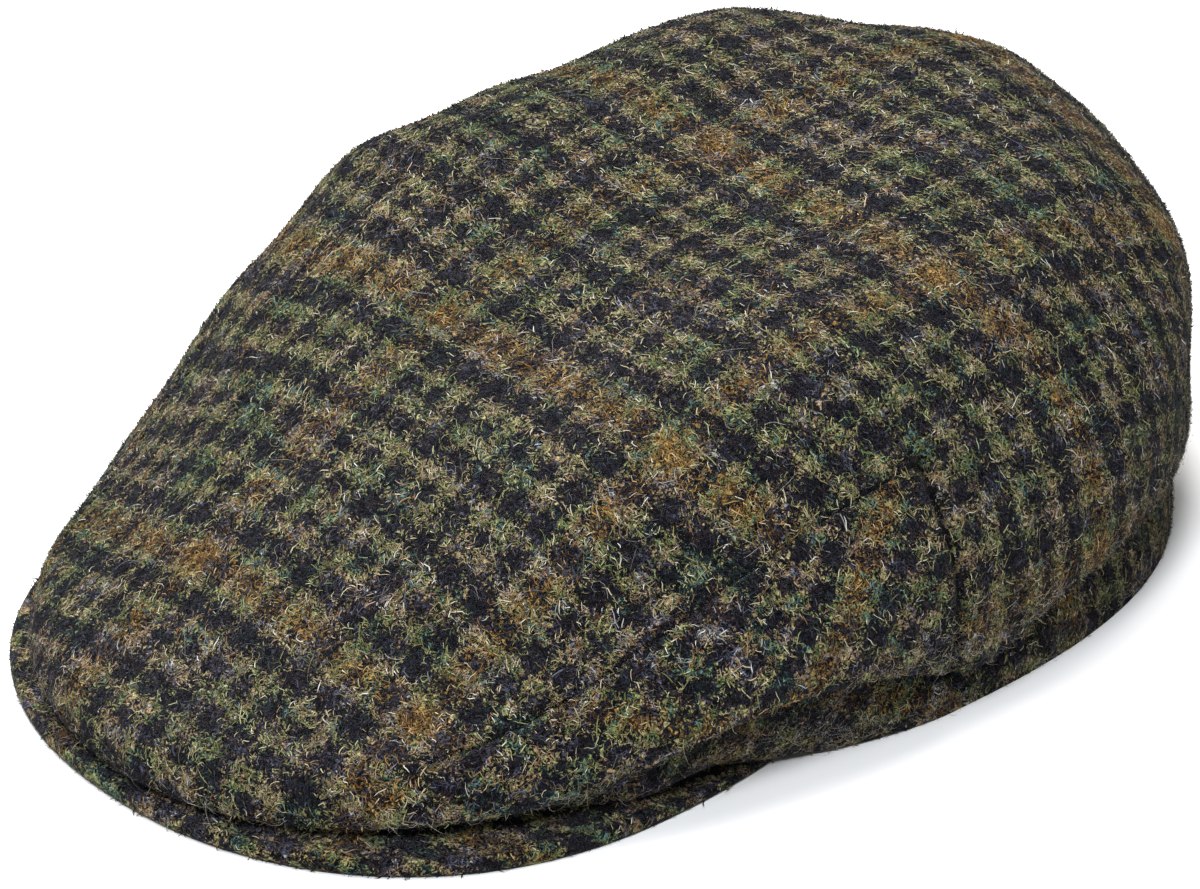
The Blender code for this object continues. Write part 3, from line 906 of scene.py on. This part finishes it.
class Recipe:
    """A material in the making."""

    def __init__(self, name):
        self.material = bpy.data.materials.new(name)
        self.material.use_nodes = True
        self.tree = self.material.node_tree
        self.shader = self.tree.nodes["Principled BSDF"]

    def add(self, kind, settings=None, inputs=None, output=0):
        """Adds a node: its settings first, then the values or links of its sockets."""
        node = self.tree.nodes.new(kind)
        for key, value in (settings or {}).items():
            if key == "stops":
                self.set_stops(node.color_ramp, value)
            else:
                setattr(node, key, value)
        self.feed(node, inputs or {})
        return Signal(self, node.outputs[output])

    def feed(self, node, inputs):
        """Gives a node's sockets their values or links."""
        for key, value in inputs.items():
            if isinstance(value, Signal):
                self.tree.links.new(value.socket, node.inputs[key])
            else:
                node.inputs[key].default_value = value

    def set_stops(self, ramp, stops):
        while len(ramp.elements) < len(stops):
            ramp.elements.new(1.0)
        for element, (place, color) in zip(ramp.elements, stops):
            element.position = place
            element.color = (*color, 1.0)

    def mix(self, share, first, second):
        """Mixes two colours."""
        inputs = {0: share, 6: first, 7: second}
        return self.add("ShaderNodeMix", {"data_type": "RGBA"}, inputs, output=2)

    def brighten(self, color, amount):
        """Multiplies a colour by a number."""
        return self.add("ShaderNodeVectorMath", {"operation": "SCALE"}, {0: color, "Scale": amount})

    def noise(self, scale, detail, distortion=0.0, roughness=0.5, offset=(0.0, 0.0, 0.0)):
        """Cloudy numbers round a half, from the place in space."""
        place = self.add("ShaderNodeTexCoord", output="Object")
        place = self.add("ShaderNodeMapping", inputs={"Vector": place, "Location": offset})
        inputs = {"Vector": place, "Scale": scale, "Detail": detail, "Distortion": distortion,
                  "Roughness": roughness}
        return self.add("ShaderNodeTexNoise", inputs=inputs)

    def cloud(self, name):
        """One of the tweed's clouds, as numbers round nothing."""
        looks = dict(CLOUDS[name])
        strength = looks.pop("strength")
        return (self.noise(**looks) - 0.5) * strength

    def palette(self, fibres, place):
        """Colour of the fibres at a place along the noise."""
        stops = [(fibre["place"], fibre["color"]) for fibre in fibres]
        return self.add("ShaderNodeValToRGB", {"stops": stops}, {0: place})


def stripes(position, overcheck, nearest):
    """One set of yarns, from a position counted in checks and the nearest dark stripe: the share
    of light fibres, how far it is a rust stripe, and whether its count is odd. Numbers and signals
    both fit."""
    odd = nearest % 2
    rust = at_most_one(1 - nearest % overcheck)
    away = abs(position - nearest) * 2 + (1 - odd) * (1 - rust) * EVEN_STRIPE_LOSS
    light = at_most_one((away - STRIPE_EDGE) * STRIPE_SHARPNESS + 0.5) * ADDED_LIGHT + LEAST_LIGHT
    return light, rust, odd


def at_most_one(value):
    """A number or a signal kept between 0 and 1."""
    return value.clamped() if isinstance(value, Signal) else np.clip(value, 0.0, 1.0)


def tweed_color(recipe):
    """Colour of the cloth: striped yarns over and under each other, each of mixed fibres."""
    cloth = bpy.context.scene.flat_cap_cloth
    flat = recipe.add("ShaderNodeUVMap", {"uv_map": "cloth"})
    across = recipe.add("ShaderNodeSeparateXYZ", inputs={0: flat}, output="X")
    along = recipe.add("ShaderNodeSeparateXYZ", inputs={0: flat}, output="Y")
    across = across / cloth.check_across + recipe.cloud("ragged_across")
    along = along / cloth.check_along + recipe.cloud("ragged_along")
    warp, warp_rust, warp_odd = stripes(across, cloth.overcheck, round(across))
    weft, weft_rust, weft_odd = stripes(along, cloth.overcheck, round(along))
    often = CLOTH_WEAVE["often"]
    over = (recipe.cloud("crossing") + often + (warp_odd - weft_odd) * CLOTH_WEAVE["odd"]).clamped()
    heather = recipe.cloud("speckle") + recipe.cloud("patches") + 0.5
    dark = recipe.palette(DARK_FIBRES, heather)
    rust = weft_rust + (warp_rust - weft_rust) * over
    deep = recipe.mix(rust, dark, recipe.palette(RUST_FIBRES, heather))
    chance = recipe.cloud("chance") + 0.5
    share = ((weft + (warp - weft) * over - chance) * FIBRE_SHARPNESS + 0.5).clamped()
    return recipe.mix(share, deep, recipe.palette(LIGHT_FIBRES, heather))


def cloth_material(name):
    """The tweed under its nap, with winding fibres in two layers whose tone is partly their own and
    partly painted shade in the gaps between them, and with painted shade in the seams and under the
    fold.
    """
    recipe = Recipe(name)
    upper = (1 - abs(recipe.cloud("upper_fibres"))).clamped()
    lower = (1 - abs(recipe.cloud("lower_fibres"))).clamped()
    tufts = recipe.noise(**TUFTS)
    # Painted shade of the seams and under the fold, the third number of each vertex's flat place,
    # darkens the base colour
    flat = recipe.add("ShaderNodeAttribute", {"attribute_name": "flat"}, output="Vector")
    shade = recipe.add("ShaderNodeSeparateXYZ", inputs={0: flat}, output="Z")
    # Tone of the winding fibres and tufts: partly their own, partly painted shade in the gaps between
    # them
    tone = upper * FIBRE_TONES_AND_GAP_SHADE["upper"] + lower * FIBRE_TONES_AND_GAP_SHADE["lower"]
    tone = tone * (tufts * FIBRE_TONES_AND_GAP_SHADE["tufts"] + FIBRE_TONES_AND_GAP_SHADE["least"]) * (1 - shade * SHADE_LOSS)
    height = upper * RELIEF["upper"] + lower * RELIEF["lower"] + tufts * RELIEF["tufts"]
    bump = recipe.add("ShaderNodeBump", inputs={**BUMP, "Height": height})
    color = recipe.brighten(tweed_color(recipe), tone)
    recipe.feed(recipe.shader, {"Base Color": color, "Normal": bump, **WOOL})
    return recipe.material


def nap_material(name):
    """The fibres of the nap, each in its own colour, with painted shading across each ribbon: a painted
    highlight in its middle and painted shade at its edges.
    """
    recipe = Recipe(name)
    own = recipe.add("ShaderNodeAttribute", {"attribute_name": "strand"}, output="Color")
    beside = recipe.add("ShaderNodeAttribute", {"attribute_name": "strand"}, output="Alpha")
    # Painted shading: a highlight down the middle of each flat ribbon and shade at its edges, so that
    # it looks round
    rounded = NAP_MIDDLE_HIGHLIGHT - abs(beside - 0.5) * NAP_EDGE_SHADE
    recipe.feed(recipe.shader, {"Base Color": recipe.brighten(own, rounded), **WOOL})
    return recipe.material


def swirl(points, size, seed):
    """A smooth random number at each point, which changes over the given size."""
    rng = np.random.default_rng(seed)
    waves = rng.normal(size=(10, 3)) / size
    phases = rng.uniform(0.0, math.tau, 10)
    return np.cos(points @ waves.T + phases).sum(axis=1) / math.sqrt(5)


def roots_on(piece, count, rng, fold_only):
    """Places spread evenly over a piece's outer side or along its fold, with their normals and
    flat places."""
    mesh = piece.data
    mesh.calc_loop_triangles()
    corners = read_rows(mesh.loop_triangles, "vertices", 3, int)
    points = read_rows(mesh.vertices, "co", 3)
    normals = read_rows(mesh.vertex_normals, "vector", 3)
    flats = read_rows(mesh.attributes["flat"].data, "vector", 3)
    first, second, third = (points[corners[:, step]] for step in range(3))
    areas = np.linalg.norm(np.cross(second - first, third - first), axis=1)
    if fold_only:
        facing = normals[corners[:, 0], 2]
        areas = areas * hump(facing - FOLD_FACING, FOLD_FACING_SPREAD) * (first[:, 2] < FOLD_TOP)
    chosen = corners[rng.choice(len(corners), size=count, p=areas / areas.sum())]
    shares = rng.dirichlet((1.0, 1.0, 1.0), count)[:, :, None]
    root, normal, flat = ((rows[chosen] * shares).sum(axis=1) for rows in (points, normals, flats))
    return root, unit(normal), flat


def drawn_from(fibres, count, rng, lean=None):
    """Colours drawn by their shares. A lean from -1 to 1 for each draw favours one end."""
    ends = np.cumsum([fibre["share"] for fibre in fibres])
    chance = rng.uniform(0.0, 1.0, count)
    if lean is not None:
        chance = (1 - LEAN_SHARE) * chance + LEAN_SHARE * (0.5 + 0.5 * lean)
    index = np.searchsorted(ends, np.clip(chance, 0.0, 1.0) * ends[-1])
    index = np.minimum(index, len(fibres) - 1)
    return np.array([fibre["color"] for fibre in fibres])[index]


def nap_colors(root, flat, rng):
    """Colour of each fibre of the nap, by the yarns that it springs from."""
    cloth = bpy.context.scene.flat_cap_cloth
    count = len(root)
    across = flat[:, 0] / cloth.check_across
    along = flat[:, 1] / cloth.check_along
    warp, warp_rust, warp_odd = stripes(across, cloth.overcheck, np.rint(across))
    weft, weft_rust, weft_odd = stripes(along, cloth.overcheck, np.rint(along))
    lean = sum(swirl(root, **patch) for patch in COLOR_PATCHES)
    often = NAP_WEAVE["often"] + NAP_WEAVE["odd"] * (warp_odd - weft_odd)
    over = rng.uniform(size=count) < often
    colors = drawn_from(DARK_FIBRES, count, rng)
    rusty = np.where(over, warp_rust, weft_rust) > 0.5
    colors[rusty] = drawn_from(RUST_FIBRES, count, rng)[rusty]
    light = rng.uniform(size=count) < np.where(over, warp, weft)
    colors[light] = drawn_from(LIGHT_FIBRES, count, rng, np.tanh(COLOR_LEAN * lean))[light]
    return colors


def fibre_corners(root, normal, shade, rng, length, width, steps, lift, curl, spread):
    """Corners of each fibre's ribbon: two at every step from its root, and one at its tip."""
    count = len(root)
    falling = FIBRE_FALL - normal * (normal @ FIBRE_FALL)[:, None] + FIBRE_DRIFT
    ahead = unit(falling - normal * (falling * normal).sum(axis=1)[:, None])
    aside = np.cross(normal, ahead)
    heading = WAY_SWING * swirl(root, WAY_PATCH, 7) + rng.normal(0.0, spread, count)
    bend = rng.choice([-1.0, 1.0], count) * rng.normal(curl, CURL_SPREAD * curl, count)
    reach = length * rng.lognormal(0.0, LENGTH_SPREAD, count) * (1 - SHADE_LOSS * shade)
    height = lift * rng.lognormal(0.0, LIFT_SPREAD, count)
    half = width / 2 * rng.uniform(*WIDTH_RANGE, count) * (1 - SHADE_LOSS * shade)
    centre = root - normal * ROOT_DEPTH
    rows = []
    for step in range(steps + 1):
        share = step / steps
        way = heading + bend * share + WAY_WOBBLE * bend * np.sin(WOBBLE_TURNS * share + heading)
        forward = ahead * np.cos(way)[:, None] + aside * np.sin(way)[:, None]
        if step:
            centre = centre + forward * (reach / steps)[:, None]
        middle = centre + normal * (height * math.sin(share * ARCH))[:, None]
        across = np.cross(normal, forward) * (half * (1 - TAPER * share))[:, None]
        rows += [middle] if step == steps else [middle - across, middle + across]
    points = np.stack(rows, axis=1)
    points[:, :, 2] = np.maximum(points[:, :, 2], FLOOR_GAP)
    return points


def fibre_colors_with_painted_light(own, per, contrast, rng):
    """Colour at each corner of each fibre: darker at the root, a painted shade, and paler where it is
    bright, a painted highlight.
    """
    # Painted shade: each fibre darker at its root than at its tip
    tone = rng.lognormal(TONE_MEAN, contrast, len(own))[:, None] * np.linspace(*PAINTED_ROOT_SHADE_RAMP, per)
    # Painted highlight: bright fibres pale towards grey, as if they caught the light
    pale = np.clip(HIGHLIGHT_PALING * (tone - 1.0), 0.0, MOST_HIGHLIGHT_PALING)[:, :, None]
    grey = own.mean(axis=1)[:, None, None]
    color = own[:, None, :] * (1 - pale) + grey * pale
    return np.minimum(color * tone[:, :, None], BRIGHTEST)


def grow(name, cloth, count, seed, contrast, colors=None, fold_only=False, **shape):
    """Fibres on a cloth, as one mesh of slender ribbons that taper to a point."""
    rng = np.random.default_rng(seed)
    root, normal, flat = roots_on(bpy.data.objects[cloth], count, rng, fold_only)
    points = fibre_corners(root, normal, flat[:, 2], rng, **shape)
    per = points.shape[1]
    steps = shape["steps"]
    quads = [[2 * step, 2 * step + 1, 2 * step + 3, 2 * step + 2] for step in range(steps - 1)]
    corners = sum(quads, []) + [per - 3, per - 2, per - 1]
    loops = (np.arange(count)[:, None] * per + np.array(corners)).ravel()
    sizes = np.tile([4] * (steps - 1) + [3], count)
    mesh = bpy.data.meshes.new(name)
    mesh.vertices.add(count * per)
    mesh.vertices.foreach_set("co", points.ravel())
    mesh.loops.add(len(loops))
    mesh.loops.foreach_set("vertex_index", loops)
    mesh.polygons.add(len(sizes))
    mesh.polygons.foreach_set("loop_start", np.concatenate([[0], np.cumsum(sizes)[:-1]]))
    mesh.update(calc_edges=True)
    layer = mesh.uv_layers.new(name="cloth")
    layer.data.foreach_set("uv", np.repeat(flat[:, :2], per, axis=0)[loops].ravel())
    own = nap_colors(root, flat, rng) if colors is None else drawn_from(colors, count, rng)
    shades = np.ones((count, per, 4))
    shades[:, :, :3] = fibre_colors_with_painted_light(own, per, contrast, rng)
    # Which side of its ribbon each corner lies on, for the painted shading across the fibre
    shades[:, :, 3] = np.append(np.tile([0.0, 1.0], steps), 0.5)
    strand = mesh.attributes.new("strand", "FLOAT_COLOR", "POINT")
    strand.data.foreach_set("color", shades.ravel())
    fibres = add_piece(name, mesh, "Nap", nap_material)


class FLATCAP_OT_top_cloth(bpy.types.Operator):
    """Make the cloth of the front, top and back of the crown"""
    bl_idname = "flatcap.top_cloth"
    bl_label = "Top cloth"

    def execute(self, context):
        piece = sew("top_cloth", top_cloth)
        give_thickness(piece)
        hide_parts("top_panel")
        return {"FINISHED"}


class FLATCAP_OT_side_cloths(bpy.types.Operator):
    """Make the two side panels of the crown"""
    bl_idname = "flatcap.side_cloths"
    bl_label = "Side cloths"

    def execute(self, context):
        for name, side in (("left", 1), ("right", -1)):
            piece = sew(f"side_cloth_{name}", side_cloth, side)
            give_thickness(piece)
            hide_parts(f"side_panel_{name}")
        return {"FINISHED"}


class FLATCAP_OT_peak_cloth(bpy.types.Operator):
    """Make the covered peak"""
    bl_idname = "flatcap.peak_cloth"
    bl_label = "Peak"

    def execute(self, context):
        piece = sew("peak_cloth", peak_cloth)
        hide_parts("peak")
        return {"FINISHED"}


class FLATCAP_OT_nap(bpy.types.Operator):
    """Raise the short curled fibres on every cloth"""
    bl_idname = "flatcap.nap"
    bl_label = "Nap"

    def execute(self, context):
        nap = context.scene.flat_cap_nap
        kind = dict(NAP_KIND, length=nap.length, width=nap.width)
        grow("nap_top_a", "top_cloth", nap.top_fibres, 11, **kind)
        grow("nap_top_b", "top_cloth", nap.top_fibres, 12, **kind)
        grow("nap_top_c", "top_cloth", nap.top_fibres, 13, **kind)
        grow("nap_side_left", "side_cloth_left", nap.side_fibres, 14, **kind)
        grow("nap_side_right", "side_cloth_right", nap.side_fibres, 15, **kind)
        grow("nap_peak", "peak_cloth", nap.peak_fibres, 16, **kind)
        return {"FINISHED"}


class FLATCAP_OT_stray_fibres(bpy.types.Operator):
    """Scatter the long pale fibres, and the short pale ones along the fold, which are partly loose
    fibres and partly a painted sheen on its edge
    """
    bl_idname = "flatcap.stray_fibres"
    bl_label = "Stray fibres"

    def execute(self, context):
        nap = context.scene.flat_cap_nap
        grow("stray_fibres", "top_cloth", nap.stray_fibres, 21, **STRAY_KIND)
        grow("fold_fibres_top", "top_cloth", 2 * nap.fold_fibres, 22, **FOLD_FUZZ_AND_SHEEN_KIND)
        grow("fold_fibres_left", "side_cloth_left", nap.fold_fibres, 23, **FOLD_FUZZ_AND_SHEEN_KIND)
        grow("fold_fibres_right", "side_cloth_right", nap.fold_fibres, 24, **FOLD_FUZZ_AND_SHEEN_KIND)
        return {"FINISHED"}


class FLATCAP_OT_stage(bpy.types.Operator):
    """Set the floor, the lights and the camera"""
    bl_idname = "flatcap.stage"
    bl_label = "Stage"

    def execute(self, context):
        add_floor(context.scene.flat_cap_stage)
        for light in LIGHTS:
            add_light(light)
        add_sky()
        add_camera(context.scene.flat_cap_stage)
        context.scene.view_settings.view_transform = "Standard"
        return {"FINISHED"}


def add_floor(stage):
    """Plain pale floor."""
    bm = bmesh.new()
    bmesh.ops.create_grid(bm, x_segments=1, y_segments=1, size=FLOOR_SIZE)
    mesh = bpy.data.meshes.new("floor")
    bm.to_mesh(mesh)
    bm.free()
    recipe = Recipe("Floor")
    recipe.feed(recipe.shader, {"Base Color": (*stage.floor_color, 1.0), "Roughness": FLOOR_ROUGHNESS})
    mesh.materials.append(recipe.material)
    add_object("floor", mesh)


def add_light(light):
    """A square soft light that faces the cap."""
    lamp = bpy.data.lights.new(light["name"], "AREA")
    lamp.energy = light["power"]
    lamp.color = light["color"]
    lamp.size = light["size"]
    holder = add_object(light["name"], lamp)
    holder.location = light["place"]
    holder.rotation_euler = (CAMERA_TARGET - holder.location).to_track_quat("-Z", "Y").to_euler()


def add_sky():
    """Even pale light from all round."""
    world = bpy.data.worlds.new("Studio")
    world.use_nodes = True
    for name, value in SKY.items():
        world.node_tree.nodes["Background"].inputs[name].default_value = value
    bpy.context.scene.world = world


def add_camera(stage):
    """Camera at the photograph's viewing angle."""
    lens = bpy.data.cameras.new("camera")
    lens.lens = stage.focal_length
    lens.sensor_width = SENSOR_WIDTH
    lens.clip_start = NEAREST_SEEN
    away = Vector((math.sin(CAMERA_TURN) * math.cos(CAMERA_RISE),
                   -math.cos(CAMERA_TURN) * math.cos(CAMERA_RISE),
                   math.sin(CAMERA_RISE)))
    camera = add_object("camera", lens)
    camera.location = CAMERA_TARGET + away * CAMERA_DISTANCE
    camera.rotation_euler = (-away).to_track_quat("-Z", "Y").to_euler()
    bpy.context.scene.camera = camera


OPERATORS = (
    FLATCAP_OT_top_cloth,
    FLATCAP_OT_side_cloths,
    FLATCAP_OT_peak_cloth,
    FLATCAP_OT_nap,
    FLATCAP_OT_stray_fibres,
    FLATCAP_OT_stage,
)


class FLATCAP_PT_panel(bpy.types.Panel):
    """Lists the cap's pieces and their sizes"""
    bl_label = "Flat Cap"
    bl_idname = "FLATCAP_PT_panel"
    bl_space_type = "VIEW_3D"
    bl_region_type = "UI"
    bl_category = "Flat Cap"

    def draw(self, context):
        for operator in OPERATORS:
            self.layout.operator(operator.bl_idname)
        for name in SETTINGS:
            settings = getattr(context.scene, name)
            for key in settings.__annotations__:
                self.layout.prop(settings, key)


SETTINGS = {
    "flat_cap_cloth": FlatCapCloth,
    "flat_cap_nap": FlatCapNap,
    "flat_cap_stage": FlatCapStage,
}
CLASSES = (*SETTINGS.values(), *OPERATORS, FLATCAP_PT_panel)


def register():
    for cls in CLASSES:
        bpy.utils.register_class(cls)
    for name, settings in SETTINGS.items():
        setattr(bpy.types.Scene, name, PointerProperty(type=settings))


def unregister():
    for name in SETTINGS:
        delattr(bpy.types.Scene, name)
    for cls in reversed(CLASSES):
        bpy.utils.unregister_class(cls)


def main():
    register()
    for operator in OPERATORS:
        group, name = operator.bl_idname.split(".")
        getattr(getattr(bpy.ops, group), name)()


if __name__ == "__main__":
    main()
